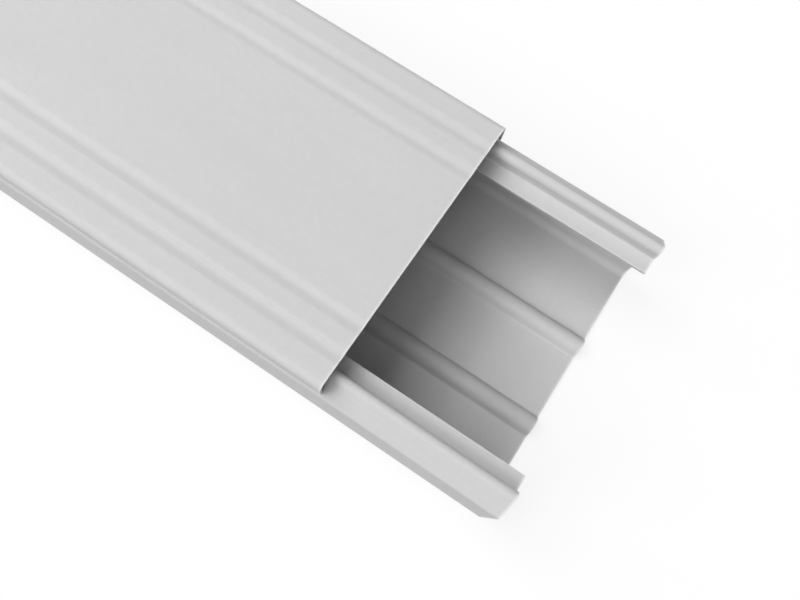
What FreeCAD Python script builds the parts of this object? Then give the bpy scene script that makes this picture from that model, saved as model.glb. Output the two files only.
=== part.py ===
# Steel surface raceway for cords: a rolled base channel and the cover that closes over it, slid back
# to bare one end. Millimetres. +X runs along the stock to the bared end, +Y across it, +Z away from
# the wall or floor that it is fixed to. The origin is the middle of the base's flat back.
import FreeCAD, Part
import math
import os
import Sketcher

SHEET = "sizes"
NODES = ["base_channel", "cover"]

SIZES = [
    ("stock_length", 1524.0),      # five-foot length, base and cover alike
    ("cover_setback", 71.4),       # how far the cover stands back from the bared end
    ("base_width", 120.65),        # outside the walls
    ("overall_height", 44.45),     # back of the base to the top of the cover
    ("base_gauge", 1.2),           # sheet of the base
    ("cover_gauge", 1.0),          # sheet of the cover
    ("seat_clearance", 0.3),       # running gap between the cover's flanges and the shoulders
    ("crest_clearance", 2.8),      # underside of the cover down to the crests
    ("base_bend", 1.0),            # inside radius of the base's bends, but for its floor corners
    ("floor_bend", 3.0),           # inside radius where the floor turns up into the walls
    ("bead_spacing", 38.6),        # between the crowns of the two floor beads
    ("bead_rise", 4.0),            # underside of a bead above the back
    ("bead_angle", 60.0),          # slope of a bead's flanks
    ("bead_crown", 3.0),           # radius under a bead's crown
    ("shoulder_angle", 45.0),      # slope of the shoulders that the cover closes over
    ("crest_inset", 8.3),          # outside of a wall in to the crest above its shoulder
    ("lip_drop", 5.9),             # top of a crest down to the top of its lip
    ("lip_reach", 8.6),            # crest in to the edge of its lip
    ("cover_inset", 0.8),          # outside of a wall in to the outside of the cover
    ("cover_bend", 2.5),           # inside radius where the cover turns down
    ("outer_groove_inset", 13.0),  # outside of the cover in to its outer groove
    ("inner_groove_inset", 25.0),  # and to its inner groove
    ("groove_depth", 0.55),        # below the face of the cover
    ("groove_angle", 12.0),        # slope of a groove's flanks
    ("groove_radius", 5.0),        # along the floor and both brims of a groove
]

OUTER_BEND = "(sizes.base_bend + sizes.base_gauge)"
FLOOR_CORNER = "(sizes.floor_bend + sizes.base_gauge)"
TURN_DOWN = "(sizes.cover_bend + sizes.cover_gauge)"
WALL = "(sizes.base_width / 2)"
CREST = f"({WALL} - sizes.crest_inset)"
CREST_TOP = "(sizes.overall_height - sizes.cover_gauge - sizes.crest_clearance)"
CREST_HEART = f"({CREST_TOP} - {OUTER_BEND})"
LIP_EDGE = f"({CREST} - sizes.lip_reach)"
LIP_TOP = f"({CREST_TOP} - sizes.lip_drop)"
COVER_EDGE = f"({WALL} - sizes.cover_inset)"
GROOVES = {name: f"({COVER_EDGE} - sizes.{name}_inset)" for name in ("inner_groove", "outer_groove")}
SHOULDER = "sizes.shoulder_angle * 1 deg"
FLANGE_END = (
    f"{CREST_HEART} + ({OUTER_BEND} - ({COVER_EDGE} - sizes.cover_gauge - {CREST}) * sin({SHOULDER})"
    f" + sizes.seat_clearance) / cos({SHOULDER})"
)


def add_sheet(doc):
    sheet = doc.addObject("Spreadsheet::Sheet", SHEET)
    for row, (alias, value) in enumerate(SIZES, start=1):
        sheet.set(f"A{row}", alias.replace("_", " "))
        sheet.set(f"B{row}", str(value))
        sheet.setAlias(f"B{row}", alias)
    doc.recompute()
    return sheet


def section_plane():
    """The plane across the stock: sketch x is +Y of the part, sketch y is +Z."""
    return FreeCAD.Placement(FreeCAD.Vector(0, 0, 0), FreeCAD.Rotation(FreeCAD.Vector(1, 1, 1), 120))


class SheetLine:
    """One face of a bent sheet, drawn across the stock as straight runs joined by tangent arcs."""

    def __init__(self, doc, name):
        self.sketch = doc.addObject("Sketcher::SketchObject", name)
        self.sketch.Placement = section_plane()
        self.runs = []
        self.bends = []

    def value(self, expression):
        found = self.sketch.evalExpression(expression)
        return float(getattr(found, "Value", found))

    def draw(self, corners, radii):
        """Rounds the corners of a polyline, then ties each run to the next."""
        trims = [0.0]
        for before, corner, after, radius in zip(corners, corners[1:], corners[2:], radii):
            turn = (corner - before).getAngle(after - corner)
            trims.append(radius * math.tan(turn / 2))
        trims.append(0.0)
        for start, end, near, far in zip(corners, corners[1:], trims, trims[1:]):
            along = (end - start).normalize()
            run = Part.LineSegment(start + along * near, end - along * far)
            self.runs.append(self.sketch.addGeometry(run))
        for index, corner in enumerate(corners[1:-1]):
            run_in = self.sketch.Geometry[self.runs[index]]
            run_out = self.sketch.Geometry[self.runs[index + 1]]
            inward = (run_in.EndPoint + run_out.StartPoint) * 0.5 - corner
            half_turn = math.atan2((run_in.EndPoint - run_out.StartPoint).Length / 2, inward.Length)
            to_arc = radii[index] * (1 / math.sin(half_turn) - 1)
            middle = corner + inward.normalize() * to_arc
            arc = Part.Arc(run_in.EndPoint, middle, run_out.StartPoint)
            self.bends.append(self.sketch.addGeometry(arc))
        for index, bend in enumerate(self.bends):
            self.tie(self.runs[index], 2, bend)
            self.tie(self.runs[index + 1], 1, bend)

    def tie(self, run, run_end, bend):
        point = self.sketch.getPoint(run, run_end)
        nearer_start = (self.sketch.getPoint(bend, 1) - point).Length
        nearer_end = (self.sketch.getPoint(bend, 2) - point).Length
        bend_end = 1 if nearer_start < nearer_end else 2
        self.sketch.addConstraint(Sketcher.Constraint("Tangent", run, run_end, bend, bend_end))

    def level(self, *runs):
        for run in runs:
            self.sketch.addConstraint(Sketcher.Constraint("Horizontal", self.runs[run]))

    def upright(self, *runs):
        for run in runs:
            self.sketch.addConstraint(Sketcher.Constraint("Vertical", self.runs[run]))

    def bound(self, name, expression, constraint):
        index = self.sketch.addConstraint(constraint)
        self.sketch.renameConstraint(index, name)
        self.sketch.setExpression(f"Constraints.{name}", expression)

    def slope(self, name, run, degrees):
        angle = math.radians(self.value(degrees))
        constraint = Sketcher.Constraint("Angle", self.runs[run], angle)
        self.bound(name, f"({degrees}) * 1 deg", constraint)

    def across(self, name, geometry, point, expression):
        constraint = Sketcher.Constraint("DistanceX", -1, 1, geometry, point, self.value(expression))
        self.bound(name, expression, constraint)

    def above(self, name, geometry, point, expression):
        constraint = Sketcher.Constraint("DistanceY", -1, 1, geometry, point, self.value(expression))
        self.bound(name, expression, constraint)

    def radius(self, name, bend, expression):
        constraint = Sketcher.Constraint("Radius", self.bends[bend], self.value(expression))
        self.bound(name, expression, constraint)

    def centre(self, name, bend, across, above):
        self.across(f"{name}_across", self.bends[bend], 3, across)
        self.above(f"{name}_above", self.bends[bend], 3, above)


def base_line(doc):
    """The outer face of half the base: back, floor bead, wall, shoulder, crest, drop and lip."""
    line = SheetLine(doc, "base_line")
    bead = line.value("sizes.bead_spacing / 2")
    bead_flank = math.radians(line.value("sizes.bead_angle"))
    bead_crown = line.value("sizes.bead_crown")
    bead_top = line.value("sizes.bead_rise") + bead_crown * (1 / math.cos(bead_flank) - 1)
    bead_foot = bead_top / math.tan(bead_flank)
    wall = line.value(WALL)
    slope = math.radians(line.value("sizes.shoulder_angle"))
    bend = line.value(OUTER_BEND)
    crest = line.value(CREST)
    drop = crest - bend
    over_crest = line.value(CREST_HEART) + bend / math.cos(slope)
    wall_top = over_crest - (wall - crest) * math.tan(slope)
    apex = over_crest + bend * math.tan(slope)
    lip = line.value(LIP_TOP)
    lip_edge = line.value(LIP_EDGE)
    corners = [
        (0, 0), (bead - bead_foot, 0), (bead, bead_top), (bead + bead_foot, 0), (wall, 0),
        (wall, wall_top), (drop, apex), (drop, lip), (lip_edge, lip),
    ]
    lip_root = line.value("sizes.base_bend")
    radii = [bend, bead_crown, bend, line.value(FLOOR_CORNER), bend, bend, lip_root]
    line.draw([FreeCAD.Vector(u, v, 0) for u, v in corners], radii)

    line.sketch.addConstraint(Sketcher.Constraint("Coincident", line.runs[0], 1, -1, 1))
    line.level(0, 3, 7)
    line.upright(4, 6)
    line.sketch.addConstraint(Sketcher.Constraint("PointOnObject", line.runs[3], 1, -1))
    line.slope("bead_in", 1, "sizes.bead_angle")
    line.slope("bead_out", 2, "-sizes.bead_angle")
    line.slope("shoulder", 5, "180 - sizes.shoulder_angle")
    line.centre("bead", 1, "sizes.bead_spacing / 2", "sizes.bead_rise - sizes.bead_crown")
    line.across("wall", line.runs[4], 1, WALL)
    line.centre("crest", 5, CREST, CREST_HEART)
    line.above("lip", line.runs[7], 2, LIP_TOP)
    line.across("lip_edge", line.runs[7], 2, LIP_EDGE)
    line.radius("bead_crown", 1, "sizes.bead_crown")
    line.radius("floor_corner", 3, FLOOR_CORNER)
    line.radius("lip_root", 6, "sizes.base_bend")
    for name, index in [("bead_toe", 0), ("bead_heel", 2), ("shoulder_bend", 4), ("crest", 5)]:
        line.radius(name, index, OUTER_BEND)
    return line.sketch


def cover_line(doc):
    """The outer face of half the cover: flat, inner groove, land, outer groove, land and flange."""
    line = SheetLine(doc, "cover_line")
    top = line.value("sizes.overall_height")
    edge = line.value(COVER_EDGE)
    flank = math.radians(line.value("sizes.groove_angle"))
    bottom_radius = line.value("sizes.groove_radius")
    depth = line.value("sizes.groove_depth") + bottom_radius * (1 / math.cos(flank) - 1)
    brim = depth / math.tan(flank)
    corners = [(0, top)]
    for place in GROOVES.values():
        groove = line.value(place)
        corners += [(groove - brim, top), (groove, top - depth), (groove + brim, top)]
    corners += [(edge, top), (edge, line.value(FLANGE_END))]
    radii = [bottom_radius] * 6 + [line.value(TURN_DOWN)]
    line.draw([FreeCAD.Vector(u, v, 0) for u, v in corners], radii)

    line.level(0, 3, 6)
    line.upright(7)
    line.sketch.addConstraint(Sketcher.Constraint("PointOnObject", line.runs[0], 1, -2))
    for name, run in [("flat", 0), ("land", 3), ("margin", 6)]:
        line.above(name, line.runs[run], 1, "sizes.overall_height")
    for name, run, bend in [("inner_groove", 1, 1), ("outer_groove", 4, 4)]:
        line.slope(f"{name}_in", run, "-sizes.groove_angle")
        line.slope(f"{name}_out", run + 1, "sizes.groove_angle")
        floor = "sizes.overall_height - sizes.groove_depth + sizes.groove_radius"
        line.centre(name, bend, GROOVES[name], floor)
    line.across("edge", line.runs[7], 1, COVER_EDGE)
    line.above("flange_end", line.runs[7], 2, FLANGE_END)
    for index in range(6):
        line.radius(f"groove_{index}", index, "sizes.groove_radius")
    line.radius("turn_down", 6, TURN_DOWN)
    return line.sketch


def rolled_piece(doc, label, face, gauge, backset):
    """Thickens the drawn face inward, runs it along the stock and closes it with its mirror half."""
    wall = doc.addObject("Part::Offset2D", f"{label}_section")
    wall.Source = face
    wall.Mode = "Skin"
    wall.Fill = True
    wall.setExpression("Value", gauge)
    half = doc.addObject("Part::Extrusion", f"{label}_half")
    half.Base = wall
    half.DirMode = "Custom"
    half.Dir = FreeCAD.Vector(1, 0, 0)
    half.Symmetric = True
    half.setExpression("LengthFwd", "sizes.stock_length")
    other = doc.addObject("Part::Mirroring", f"{label}_other_half")
    other.Source = half
    other.Normal = FreeCAD.Vector(0, 1, 0)
    whole = doc.addObject("Part::Fuse", label)
    whole.Base = half
    whole.Tool = other
    whole.Refine = True
    whole.Label = label
    whole.setExpression("Placement.Base.x", backset)
    return whole


def check(doc, pieces):
    for item in doc.Objects:
        if "Invalid" in item.State or "Error" in item.State:
            raise RuntimeError(f"{item.Name} failed: {item.State}")
    for piece in pieces:
        shape = piece.Shape
        if shape.isNull() or not shape.isValid() or len(shape.Solids) != 1:
            raise RuntimeError(f"{piece.Label} is not one sound solid")
        box = shape.BoundBox
        print(piece.Label, f"{box.XMin:.2f} {box.XMax:.2f} {box.YMin:.3f} {box.YMax:.3f}",
              f"{box.ZMin:.3f} {box.ZMax:.3f} volume {shape.Volume / 1000:.1f} cm3 faces {len(shape.Faces)}")


def main():
    os.makedirs("parts", exist_ok=True)
    doc = FreeCAD.newDocument("raceway")
    add_sheet(doc)
    faces = [base_line(doc), cover_line(doc)]
    doc.recompute()
    base = rolled_piece(doc, NODES[0], faces[0], "-sizes.base_gauge", "0")
    cover = rolled_piece(doc, NODES[1], faces[1], "sizes.cover_gauge", "-sizes.cover_setback")
    doc.recompute()
    check(doc, [base, cover])
    for piece in (base, cover):
        piece.Shape.exportStep(f"parts/{piece.Label}.step")


main()
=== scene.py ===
import math
from collections import namedtuple

import bpy
from mathutils import Euler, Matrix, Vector


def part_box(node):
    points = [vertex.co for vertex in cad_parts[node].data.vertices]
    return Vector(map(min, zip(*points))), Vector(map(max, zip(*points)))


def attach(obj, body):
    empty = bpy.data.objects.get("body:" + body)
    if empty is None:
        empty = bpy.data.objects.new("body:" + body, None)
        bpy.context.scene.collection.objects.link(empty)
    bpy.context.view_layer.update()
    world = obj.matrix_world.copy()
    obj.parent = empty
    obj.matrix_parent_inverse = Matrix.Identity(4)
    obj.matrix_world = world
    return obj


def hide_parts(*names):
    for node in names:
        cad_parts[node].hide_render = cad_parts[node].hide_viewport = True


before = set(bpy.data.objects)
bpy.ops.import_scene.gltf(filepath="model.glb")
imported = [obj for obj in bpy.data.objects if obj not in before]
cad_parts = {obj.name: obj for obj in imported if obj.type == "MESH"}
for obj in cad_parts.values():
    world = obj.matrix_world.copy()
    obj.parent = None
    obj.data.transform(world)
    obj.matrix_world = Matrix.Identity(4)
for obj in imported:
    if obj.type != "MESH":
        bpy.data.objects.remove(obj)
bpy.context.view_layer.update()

MM = 0.001

# Sheet and bends, as the construction has them
BASE_GAUGE = 1.2 * MM
COVER_GAUGE = 1.0 * MM
BASE_BEND = 1.0 * MM
FLOOR_BEND = 3.0 * MM
COVER_BEND = 2.5 * MM
SHOULDER_ANGLE = math.radians(45)
CREST_INSET = 8.3 * MM
LIP_DROP = 5.9 * MM
LIP_REACH = 8.6 * MM
BEAD_AT = 19.3 * MM
BEAD_RISE = 4.0 * MM
BEAD_ANGLE = math.radians(60)
BEAD_CROWN = 3.0 * MM
GROOVE_INSETS = (25.0 * MM, 13.0 * MM)
GROOVE_DEPTH = 0.55 * MM
GROOVE_ANGLE = math.radians(12)
GROOVE_RADIUS = 5.0 * MM

# How finely the sheet is drawn: bends, softened edges, and rows that lie this far from an edge
BEND_STEP = math.radians(7)
EDGE_ROUND = 0.12 * MM
EDGE_STEPS = 3
CUT_MARKS = (0.5 * MM, 1.2 * MM, 3.0 * MM)

# Colours, in linear light
ENAMEL = (0.617, 0.617, 0.617)
# The pale bare-metal colour also lightens the enamel at its edges, partly as wear and partly as a
# painted highlight.
CUT_METAL_AND_HIGHLIGHT = (0.80, 0.80, 0.80)

# Noise patterns: stretch along x, y and z, scale per metre, detail, roughness, and a shift that
# keeps one pattern from repeating another. A piece's own shift is shared out over the axes.
Pattern = namedtuple("Pattern", "stretch scale detail roughness shift")
CLOUD = Pattern((1, 2.5, 2.5), 14, 3, 0.55, 0)
MOTTLE = Pattern((1, 1, 1), 420, 3, 0.6, 3)
ROLL_LINES = Pattern((0.012, 1, 1), 900, 2, 0.6, 5)
SCUFFS = Pattern((0.06, 1, 1), 260, 4, 0.7, 9)
RAGGED_EDGE = Pattern((1, 1, 1), 1900, 3, 0.7, 11)
ORANGE_PEEL = Pattern((1, 1, 1), 1100, 2, 0.5, 17)
CUT_GRAIN = Pattern((1, 1, 0.2), 3200, 3, 0.6, 0)
FLOOR_SPECKLE = Pattern((1, 1, 1), 60, 2, 0.5, 0)
SHIFT_SHARES = (1, 1.7, 0.6)
NOISE_SPAN = (0.3, 0.7)
SCUFF_SPAN = (0.66, 0.78)

# Enamel: its tints as shares of the colour, mixed in by how much
CLOUD_TINTS = (0.975, 1.015)
MOTTLE_MIX, MOTTLE_TINT = 0.45, 0.93
ROLL_MIX, ROLL_TINT = 0.3, 1.05
SCUFF_MIX, SCUFF_TINT = 0.25, 1.1
ENAMEL_ROUGHNESS = (0.52, 0.62)
ENAMEL_SPECULAR = 0.22

# Bumps: height and strength
PEEL_BUMP = (0.05 * MM, 0.6)
ROLL_BUMP = (0.03 * MM, 0.5)
CUT_BUMP = (0.03 * MM, 0.5)

# Rubbed edges, partly bare metal worn through the enamel and partly a painted highlight along the
# edges: distance from the edge where the rubbing begins and where it is full, and how much
CUT_RUB_AND_HIGHLIGHT = (0.9 * MM, 0.35 * MM)
SLIT_RUB_AND_HIGHLIGHT = (0.45 * MM, 0.1 * MM)
SLIT_RUB_AND_HIGHLIGHT_MIX = 0.6
RUB_AND_HIGHLIGHT_MIX = 0.85
RAGGED_BY = (-0.25 * MM, 0.3 * MM)

# Bare cut face: tints of the metal, roughness and how metallic it looks
CUT_TINTS = (0.72, 1.0)
CUT_ROUGHNESS = (0.55, 0.38)
CUT_METALLIC = 0.6

# Floor: its colour for the light it sends back, the share of its look that takes shadow, and
# where round the stock's middle that share fades out. It lies a hair under the stock's back.
FLOOR_PALE = (0.38, 0.38, 0.38)
FLOOR_TINTS = (0.98, 1.02)
FLOOR_SHADOW = 0.18
SHADOW_FADE = (1.1, 1.9)
FLOOR_HALF = 6.0
FLOOR_LEVEL = -0.2 * MM
ROOM_FILL = 0.05
WHITE = (1, 1, 1, 1)

# Soft boxes round the bared end: azimuth from +X towards +Y and elevation in degrees, watts
SOFT_BOXES = {
    "left_high": (180, 60, 270),
    "left_front": (225, 35, 410),
    "front_high": (270, 60, 85),
    "front_low": (270, 35, 125),
    "left_low": (180, 35, 235),
    "right_low": (0, 35, 60),
    "back_left": (135, 15, 145),
    "back_low": (90, 15, 55),
}
SOFT_BOX_SIDE = 4.8
SOFT_BOX_DISTANCE = 9.0
LIT_INSET = 0.05
LIT_HEIGHT = 0.03

# Camera of the photograph: place, turn in degrees, lens on a 36 mm sensor and framing shift
CAMERA_AT = (0.7168, -0.0820, 0.2359)
CAMERA_TURN = (13.83, -2.76, 33.85)
CAMERA_LENS = 27.1
CAMERA_SHIFT = (0.0288, 0.0612)
CAMERA_NEAR = 0.01


def turned(direction, angle):
    """A direction in the section turned left by an angle."""
    c, s = math.cos(angle), math.sin(angle)
    return Vector((direction.x * c - direction.y * s, direction.x * s + direction.y * c))


def left_of(direction):
    """The direction square to another, on its left."""
    return Vector((-direction.y, direction.x))


def rounded_line(corners, radii, side):
    """A line through the corners with its bends rounded, as places with the way into the sheet.

    The sheet lies on the line's left where side is 1 and on its right where side is -1.
    """
    corners = [Vector(corner) for corner in corners]
    along = [(b - a).normalized() for a, b in zip(corners, corners[1:])]
    line = [(corners[0], left_of(along[0]) * side)]
    for corner, run_in, run_out, radius in zip(corners[1:], along, along[1:], radii):
        turn = -run_in.angle_signed(run_out)
        way = math.copysign(1, turn)
        start = corner - run_in * radius * math.tan(abs(turn) / 2)
        heart = start + left_of(run_in) * radius * way
        steps = max(2, round(abs(turn) / BEND_STEP))
        for step in range(steps + 1):
            heading = turned(run_in, turn * step / steps)
            place = heart - left_of(heading) * radius * way
            line.append((place, left_of(heading) * side))
    line.append((corners[-1], left_of(along[-1]) * side))
    return line


def apex_over(rise, radius, angle):
    """Height of the sharp corner that a bend of this radius and half angle rounds off."""
    return rise + radius * (1 / math.cos(angle) - 1)


def base_face():
    """The outer face of half the base: back, bead, wall, shoulder, crest, drop and lip."""
    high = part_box("base_channel")[1]
    outer = BASE_BEND + BASE_GAUGE
    bead_top = apex_over(BEAD_RISE, BEAD_CROWN, BEAD_ANGLE)
    bead_foot = bead_top / math.tan(BEAD_ANGLE)
    wall = high.y
    crest = wall - CREST_INSET
    over_crest = high.z - outer + outer / math.cos(SHOULDER_ANGLE)
    drop = crest - outer
    lip = high.z - LIP_DROP
    corners = [
        (0, 0), (BEAD_AT - bead_foot, 0), (BEAD_AT, bead_top), (BEAD_AT + bead_foot, 0), (wall, 0),
        (wall, over_crest - CREST_INSET * math.tan(SHOULDER_ANGLE)),
        (drop, over_crest + outer * math.tan(SHOULDER_ANGLE)),
        (drop, lip), (crest - LIP_REACH, lip),
    ]
    radii = [outer, BEAD_CROWN, outer, FLOOR_BEND + BASE_GAUGE, outer, outer, BASE_BEND]
    return rounded_line(corners, radii, 1)


def cover_face():
    """The outer face of half the cover: flat, two grooves and the turned-down flange."""
    low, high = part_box("cover")
    edge, top = high.y, high.z
    depth = apex_over(GROOVE_DEPTH, GROOVE_RADIUS, GROOVE_ANGLE)
    brim = depth / math.tan(GROOVE_ANGLE)
    corners = [(0, top)]
    for inset in GROOVE_INSETS:
        groove = edge - inset
        corners += [(groove - brim, top), (groove, top - depth), (groove + brim, top)]
    corners += [(edge, top), (edge, low.z)]
    radii = [GROOVE_RADIUS] * 3 * len(GROOVE_INSETS) + [COVER_BEND + COVER_GAUGE]
    return rounded_line(corners, radii, -1)


def quarter_turns():
    """Angles from 0 up to, but not with, a quarter turn, as a softened edge is drawn."""
    return [math.pi / 2 * step / EDGE_STEPS for step in range(EDGE_STEPS)]


def mirrored(half):
    """The same places and directions on the other side of the section's middle."""
    return [(Vector((-p.x, p.y)), Vector((-n.x, n.y))) for p, n in half]


def sheet_loop(face, gauge):
    """The closed outline of the whole sheet, both faces, with softened slit edges.

    Each entry is a place, the way out of the steel there, and how far it lies from a slit edge.
    The first half runs along the outer face and the second half comes back along the inner one,
    in the sense in which the faces of the piece look outwards.
    """
    end, way_in = face[-1]
    along = (end - face[-2][0]).normalized()
    reach = (end - face[-2][0]).length
    marks = [(end - along * mark, way_in) for mark in reversed(CUT_MARKS) if mark < reach]
    run = face[:-1] + marks
    outer = [(place, -way) for place, way in run]
    inner = [(place + way * gauge, way) for place, way in run]
    outer_heart = end - along * EDGE_ROUND + way_in * EDGE_ROUND
    inner_heart = end - along * EDGE_ROUND + way_in * (gauge - EDGE_ROUND)
    for turn in (*quarter_turns(), math.pi / 2):
        out_normal = -way_in * math.cos(turn) + along * math.sin(turn)
        in_normal = way_in * math.cos(turn) + along * math.sin(turn)
        outer.append((outer_heart + out_normal * EDGE_ROUND, out_normal))
        inner.append((inner_heart + in_normal * EDGE_ROUND, in_normal))
    outer_side = mirrored(outer)[:0:-1] + outer
    inner_side = mirrored(inner)[:0:-1] + inner
    slits = [end, Vector((-end.x, end.y))]
    loop = [(p, n, min((p - s).length for s in slits)) for p, n in outer_side + inner_side[::-1]]
    half = len(outer_side)
    ahead = loop[half // 2][0] - loop[half // 2 - 1][0]
    faces_out = left_of(ahead).dot(loop[half // 2][1]) < 0
    return loop if faces_out else loop[half - 1::-1] + loop[:half - 1:-1]


def rings(low_x, high_x):
    """Where the outline is repeated along the stock, with the softened edges of both cuts.

    Each ring is its place, how far it shrinks into the sheet, how much its normals tilt towards
    the end, and its distance from the cut.
    """
    near_cut = []
    for turn in quarter_turns():
        inward = EDGE_ROUND * (1 - math.cos(turn))
        shrink = EDGE_ROUND * (1 - math.sin(turn))
        near_cut.append((inward, shrink, math.cos(turn)))
    near_cut += [(mark, 0.0, 0.0) for mark in (EDGE_ROUND, *CUT_MARKS)]
    start = [(low_x + d, shrink, -tilt, d) for d, shrink, tilt in near_cut]
    finish = [(high_x - d, shrink, tilt, d) for d, shrink, tilt in near_cut]
    return start + finish[::-1]


def rolled_sheet(name, node, face, gauge, materials):
    """One length of rolled sheet, square cut at both ends, standing for its CAD node."""
    low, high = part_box(node)
    loop = sheet_loop(face, gauge)
    count = len(loop)
    verts, normals, from_cut, from_slit = [], [], [], []
    stations = rings(low.x, high.x)
    for x, shrink, tilt, cut in stations:
        level = math.sqrt(1 - tilt * tilt)
        for place, normal, slit in loop:
            p = place - normal * shrink
            verts.append((x, p.x, p.y))
            normals.append((tilt, normal.x * level, normal.y * level))
            from_cut.append(cut)
            from_slit.append(slit)
    enamelled, bare = 0, 1
    faces, slots = [], []
    for ring in range(len(stations) - 1):
        for i in range(count):
            a, b = ring * count + i, ring * count + (i + 1) % count
            faces.append((a, b, b + count, a + count))
            slots.append(enamelled)
    last = (len(stations) - 1) * count
    for i in range(count // 2 - 1):
        across = count - 1 - i
        faces.append((i + 1, i, across, across - 1))
        faces.append((last + i, last + i + 1, last + across - 1, last + across))
        slots += [bare, bare]
    mesh = bpy.data.meshes.new(name)
    mesh.from_pydata(verts, [], faces)
    mesh.polygons.foreach_set("material_index", slots)
    mesh.polygons.foreach_set("use_smooth", [True] * len(faces))
    mesh.normals_split_custom_set_from_vertices(normals)
    for label, values in (("from_cut", from_cut), ("from_slit", from_slit)):
        mesh.attributes.new(label, "FLOAT", "POINT").data.foreach_set("value", values)
    mesh.validate()
    piece = bpy.data.objects.new(name, mesh)
    bpy.context.scene.collection.objects.link(piece)
    for material in materials:
        mesh.materials.append(material)
    return piece


class Nodes:
    """Short hand for a material's node tree."""

    def __init__(self, name):
        self.material = bpy.data.materials.new(name)
        self.material.use_nodes = True
        self.tree = self.material.node_tree
        self.tree.nodes.clear()
        self.output = self.tree.nodes.new("ShaderNodeOutputMaterial")

    def add(self, kind, **settings):
        node = self.tree.nodes.new(kind)
        for key, value in settings.items():
            setattr(node, key, value)
        return node

    def link(self, source, target):
        self.tree.links.new(source, target)

    def feed(self, socket, value):
        """Give a socket a number or colour, or link it where the value is a node's output."""
        if isinstance(value, bpy.types.NodeSocket):
            self.link(value, socket)
        else:
            socket.default_value = value

    def math(self, operation, first, second):
        node = self.add("ShaderNodeMath", operation=operation)
        self.feed(node.inputs[0], first)
        self.feed(node.inputs[1], second)
        return node.outputs[0]

    def spread(self, value, low, high, out_low=0.0, out_high=1.0):
        """A value carried from one span to another and held at its ends."""
        node = self.add("ShaderNodeMapRange", clamp=True)
        self.feed(node.inputs["Value"], value)
        numbers = {"From Min": low, "From Max": high, "To Min": out_low, "To Max": out_high}
        for label, number in numbers.items():
            self.feed(node.inputs[label], number)
        return node.outputs["Result"]

    def noise(self, pattern, offset=0.0):
        """A noise pattern on the piece's own coordinates."""
        coords = self.add("ShaderNodeTexCoord").outputs["Object"]
        mapping = self.add("ShaderNodeMapping")
        self.link(coords, mapping.inputs["Vector"])
        mapping.inputs["Scale"].default_value = pattern.stretch
        shift = pattern.shift + offset
        mapping.inputs["Location"].default_value = [shift * share for share in SHIFT_SHARES]
        noise = self.add("ShaderNodeTexNoise")
        self.link(mapping.outputs["Vector"], noise.inputs["Vector"])
        noise.inputs["Scale"].default_value = pattern.scale
        noise.inputs["Detail"].default_value = pattern.detail
        noise.inputs["Roughness"].default_value = pattern.roughness
        return noise.outputs["Fac"]

    def attribute(self, name):
        return self.add("ShaderNodeAttribute", attribute_name=name).outputs["Fac"]

    def blend(self, factor, first, second):
        """One colour mixed with another; the sockets are the colour ones of a Mix node."""
        node = self.add("ShaderNodeMix", data_type="RGBA", blend_type="MIX")
        self.feed(node.inputs[0], factor)
        self.feed(node.inputs[6], first)
        self.feed(node.inputs[7], second)
        return node.outputs[2]

    def bump(self, height, distance, strength, under=None):
        node = self.add("ShaderNodeBump")
        self.feed(node.inputs["Height"], height)
        node.inputs["Distance"].default_value = distance
        node.inputs["Strength"].default_value = strength
        if under is not None:
            self.link(under, node.inputs["Normal"])
        return node.outputs["Normal"]

    def surface(self, shader):
        self.link(shader, self.output.inputs["Surface"])
        return self.material


def rgba(colour, level=1.0):
    return (*[channel * level for channel in colour], 1.0)


def enamelled_steel(name, offset):
    """Satin enamel on rolled strip: mottle, roll lines, orange peel, and rubbed bare edges whose
    pale colour is partly wear and partly a painted highlight.
    """
    n = Nodes(name)
    cloud = n.spread(n.noise(CLOUD, offset), *NOISE_SPAN)
    mottle = n.spread(n.noise(MOTTLE, offset), *NOISE_SPAN)
    rolled = n.spread(n.noise(ROLL_LINES, offset), *NOISE_SPAN)
    scuffs = n.spread(n.noise(SCUFFS, offset), *SCUFF_SPAN)
    colour = n.blend(cloud, *[rgba(ENAMEL, tint) for tint in CLOUD_TINTS])
    for pattern, mix, tint in (
        (mottle, MOTTLE_MIX, MOTTLE_TINT),
        (rolled, ROLL_MIX, ROLL_TINT),
        (scuffs, SCUFF_MIX, SCUFF_TINT),
    ):
        colour = n.blend(n.math("MULTIPLY", pattern, mix), colour, rgba(ENAMEL, tint))
    # The enamel turns to the pale bare-metal colour at the cut ends and slit edges: partly worn
    # paint, partly a painted highlight along the edges.
    ragged = n.spread(n.noise(RAGGED_EDGE, offset), *NOISE_SPAN, *RAGGED_BY)
    cut = n.spread(n.math("ADD", n.attribute("from_cut"), ragged), *CUT_RUB_AND_HIGHLIGHT)
    slit = n.spread(n.math("ADD", n.attribute("from_slit"), ragged), *SLIT_RUB_AND_HIGHLIGHT)
    rubbed_and_highlight = n.math("MAXIMUM", cut, n.math("MULTIPLY", slit, SLIT_RUB_AND_HIGHLIGHT_MIX))
    colour = n.blend(n.math("MULTIPLY", rubbed_and_highlight, RUB_AND_HIGHLIGHT_MIX), colour, rgba(CUT_METAL_AND_HIGHLIGHT))
    bsdf = n.add("ShaderNodeBsdfPrincipled")
    n.link(colour, bsdf.inputs["Base Color"])
    n.link(n.spread(mottle, 0, 1, *ENAMEL_ROUGHNESS), bsdf.inputs["Roughness"])
    bsdf.inputs["Specular IOR Level"].default_value = ENAMEL_SPECULAR
    peel = n.bump(n.noise(ORANGE_PEEL, offset), *PEEL_BUMP)
    n.link(n.bump(rolled, *ROLL_BUMP, peel), bsdf.inputs["Normal"])
    return n.surface(bsdf.outputs[0])


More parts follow.
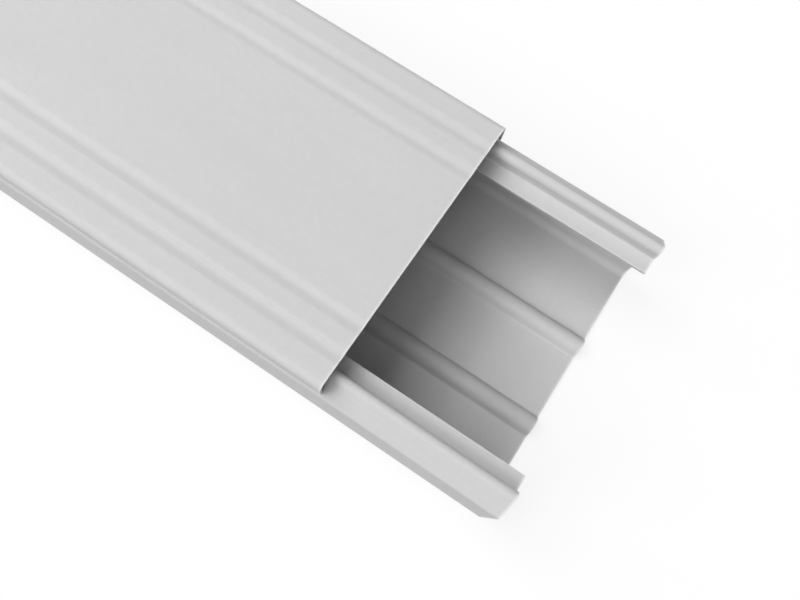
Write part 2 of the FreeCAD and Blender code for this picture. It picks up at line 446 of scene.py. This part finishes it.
def sheared_steel(name, offset):
    """The bare cut face of the sheet, its grain drawn out upwards."""
    n = Nodes(name)
    grain = n.spread(n.noise(CUT_GRAIN, offset), *NOISE_SPAN)
    bsdf = n.add("ShaderNodeBsdfPrincipled")
    colour = n.blend(grain, *[rgba(CUT_METAL_AND_HIGHLIGHT, tint) for tint in CUT_TINTS])
    n.link(colour, bsdf.inputs["Base Color"])
    n.link(n.spread(grain, 0, 1, *CUT_ROUGHNESS), bsdf.inputs["Roughness"])
    bsdf.inputs["Metallic"].default_value = CUT_METALLIC
    n.link(n.bump(grain, *CUT_BUMP), bsdf.inputs["Normal"])
    return n.surface(bsdf.outputs[0])


def white_floor():
    """A floor that lights the object as pale grey and is seen as white, but for the shadow."""
    n = Nodes("floor_white")
    path = n.add("ShaderNodeLightPath")
    seen = n.math("MAXIMUM", path.outputs["Is Camera Ray"], path.outputs["Is Glossy Ray"])
    seen = n.math("MAXIMUM", seen, path.outputs["Is Transmission Ray"])
    pale = n.blend(n.noise(FLOOR_SPECKLE), *[rgba(FLOOR_PALE, tint) for tint in FLOOR_TINTS])
    reach = n.add("ShaderNodeVectorMath", operation="LENGTH")
    n.link(n.add("ShaderNodeTexCoord").outputs["Object"], reach.inputs[0])
    shadow = n.spread(reach.outputs["Value"], *SHADOW_FADE, FLOOR_SHADOW, 0.0)
    bsdf = n.add("ShaderNodeBsdfDiffuse")
    n.link(n.blend(seen, pale, shadow), bsdf.inputs["Color"])
    glow = n.add("ShaderNodeEmission")
    n.link(n.math("MULTIPLY", seen, n.math("SUBTRACT", 1.0, shadow)), glow.inputs["Strength"])
    both = n.add("ShaderNodeAddShader")
    n.link(bsdf.outputs[0], both.inputs[0])
    n.link(glow.outputs[0], both.inputs[1])
    return n.surface(both.outputs[0])


def white_world():
    """A soft white room: dim where it lights the object, white where it is seen."""
    world = bpy.data.worlds.new("white_room")
    world.use_nodes = True
    bpy.context.scene.world = world
    tree = world.node_tree
    tree.nodes.clear()
    mix = tree.nodes.new("ShaderNodeMixShader")
    for socket, strength in ((1, ROOM_FILL), (2, 1.0)):
        background = tree.nodes.new("ShaderNodeBackground")
        background.inputs["Color"].default_value = WHITE
        background.inputs["Strength"].default_value = strength
        tree.links.new(background.outputs[0], mix.inputs[socket])
    path = tree.nodes.new("ShaderNodeLightPath")
    seen = path.outputs["Is Camera Ray"]
    for ray in ("Is Glossy Ray", "Is Transmission Ray"):
        either = tree.nodes.new("ShaderNodeMath")
        either.operation = "MAXIMUM"
        tree.links.new(seen, either.inputs[0])
        tree.links.new(path.outputs[ray], either.inputs[1])
        seen = either.outputs[0]
    tree.links.new(seen, mix.inputs[0])
    output = tree.nodes.new("ShaderNodeOutputWorld")
    tree.links.new(mix.outputs[0], output.inputs["Surface"])


def add_floor():
    mesh = bpy.data.meshes.new("floor")
    sides = ((-1, -1), (1, -1), (1, 1), (-1, 1))
    corners = [(x * FLOOR_HALF, y * FLOOR_HALF, 0) for x, y in sides]
    mesh.from_pydata(corners, [], [(0, 1, 2, 3)])
    floor = bpy.data.objects.new("floor", mesh)
    bpy.context.scene.collection.objects.link(floor)
    mesh.materials.append(white_floor())
    floor.location.z = FLOOR_LEVEL


def soft_box(name, azimuth, elevation, watts, target):
    """A square soft box that stands off the target in a direction and faces it."""
    data = bpy.data.lights.new(name, "AREA")
    data.size = SOFT_BOX_SIDE
    data.energy = watts
    lamp = bpy.data.objects.new(name, data)
    bpy.context.scene.collection.objects.link(lamp)
    round_it, up = math.radians(azimuth), math.radians(elevation)
    level = math.cos(up)
    way = Vector((math.cos(round_it) * level, math.sin(round_it) * level, math.sin(up)))
    lamp.location = target + way * SOFT_BOX_DISTANCE
    lamp.rotation_euler = way.to_track_quat("Z", "Y").to_euler()


def add_lights():
    bared_end = Vector((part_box("base_channel")[1].x - LIT_INSET, 0, LIT_HEIGHT))
    for name, (azimuth, elevation, watts) in SOFT_BOXES.items():
        soft_box(name, azimuth, elevation, watts, bared_end)


def add_camera():
    data = bpy.data.cameras.new("camera")
    camera = bpy.data.objects.new("camera", data)
    bpy.context.scene.collection.objects.link(camera)
    camera.location = CAMERA_AT
    camera.rotation_euler = Euler([math.radians(a) for a in CAMERA_TURN])
    data.lens = CAMERA_LENS
    data.shift_x, data.shift_y = CAMERA_SHIFT
    data.clip_start = CAMERA_NEAR
    bpy.context.scene.camera = camera


def add_pieces():
    cut = sheared_steel("cut_face", 2.0)
    base_paint = enamelled_steel("enamel_base", 0.0)
    cover_paint = enamelled_steel("enamel_cover", 21.0)
    base = rolled_sheet("base_rolled", "base_channel", base_face(), BASE_GAUGE, [base_paint, cut])
    cover = rolled_sheet("cover_rolled", "cover", cover_face(), COVER_GAUGE, [cover_paint, cut])
    for piece, node, body, slot in (
        (base, "base_channel", "base", "base_paint"),
        (cover, "cover", "cover", "cover_paint"),
    ):
        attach(piece, body)
        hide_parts(node)


add_pieces()
white_world()
add_floor()
add_lights()
add_camera()
bpy.context.scene.view_settings.view_transform = "Standard"
